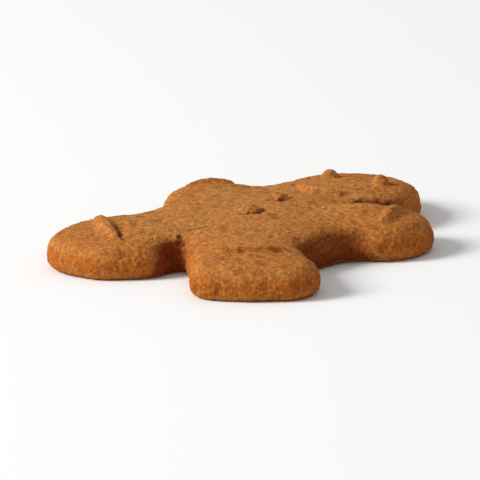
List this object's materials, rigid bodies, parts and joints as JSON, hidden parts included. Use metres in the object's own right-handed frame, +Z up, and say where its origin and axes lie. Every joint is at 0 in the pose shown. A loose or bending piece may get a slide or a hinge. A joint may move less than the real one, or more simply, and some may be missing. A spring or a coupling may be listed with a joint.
{
  "type": "gingerbread man cookie",
  "caption": "Flat baked gingerbread figure with round head, arms and feet, raised smile, eyes, buttons and wrist and ankle cuffs.",
  "frame": {"origin": "middle of the flat underside, on the surface the biscuit lies on", "axes": "+Z up through the thickness, +Y from the feet towards the head, +X across the figure, to the right when it is looked at from above with the head up"},
  "size_m": [0.058, 0.0712, 0.0091],
  "materials": {
    "baked_dough": "dry golden-brown spiced biscuit, fine sandy crumb with small pores and cracks, slightly darker at the edges, matte"
  },
  "bodies": {
    "root": {"gingerbread_man": "baked_dough"}
  },
  "joints": []
}
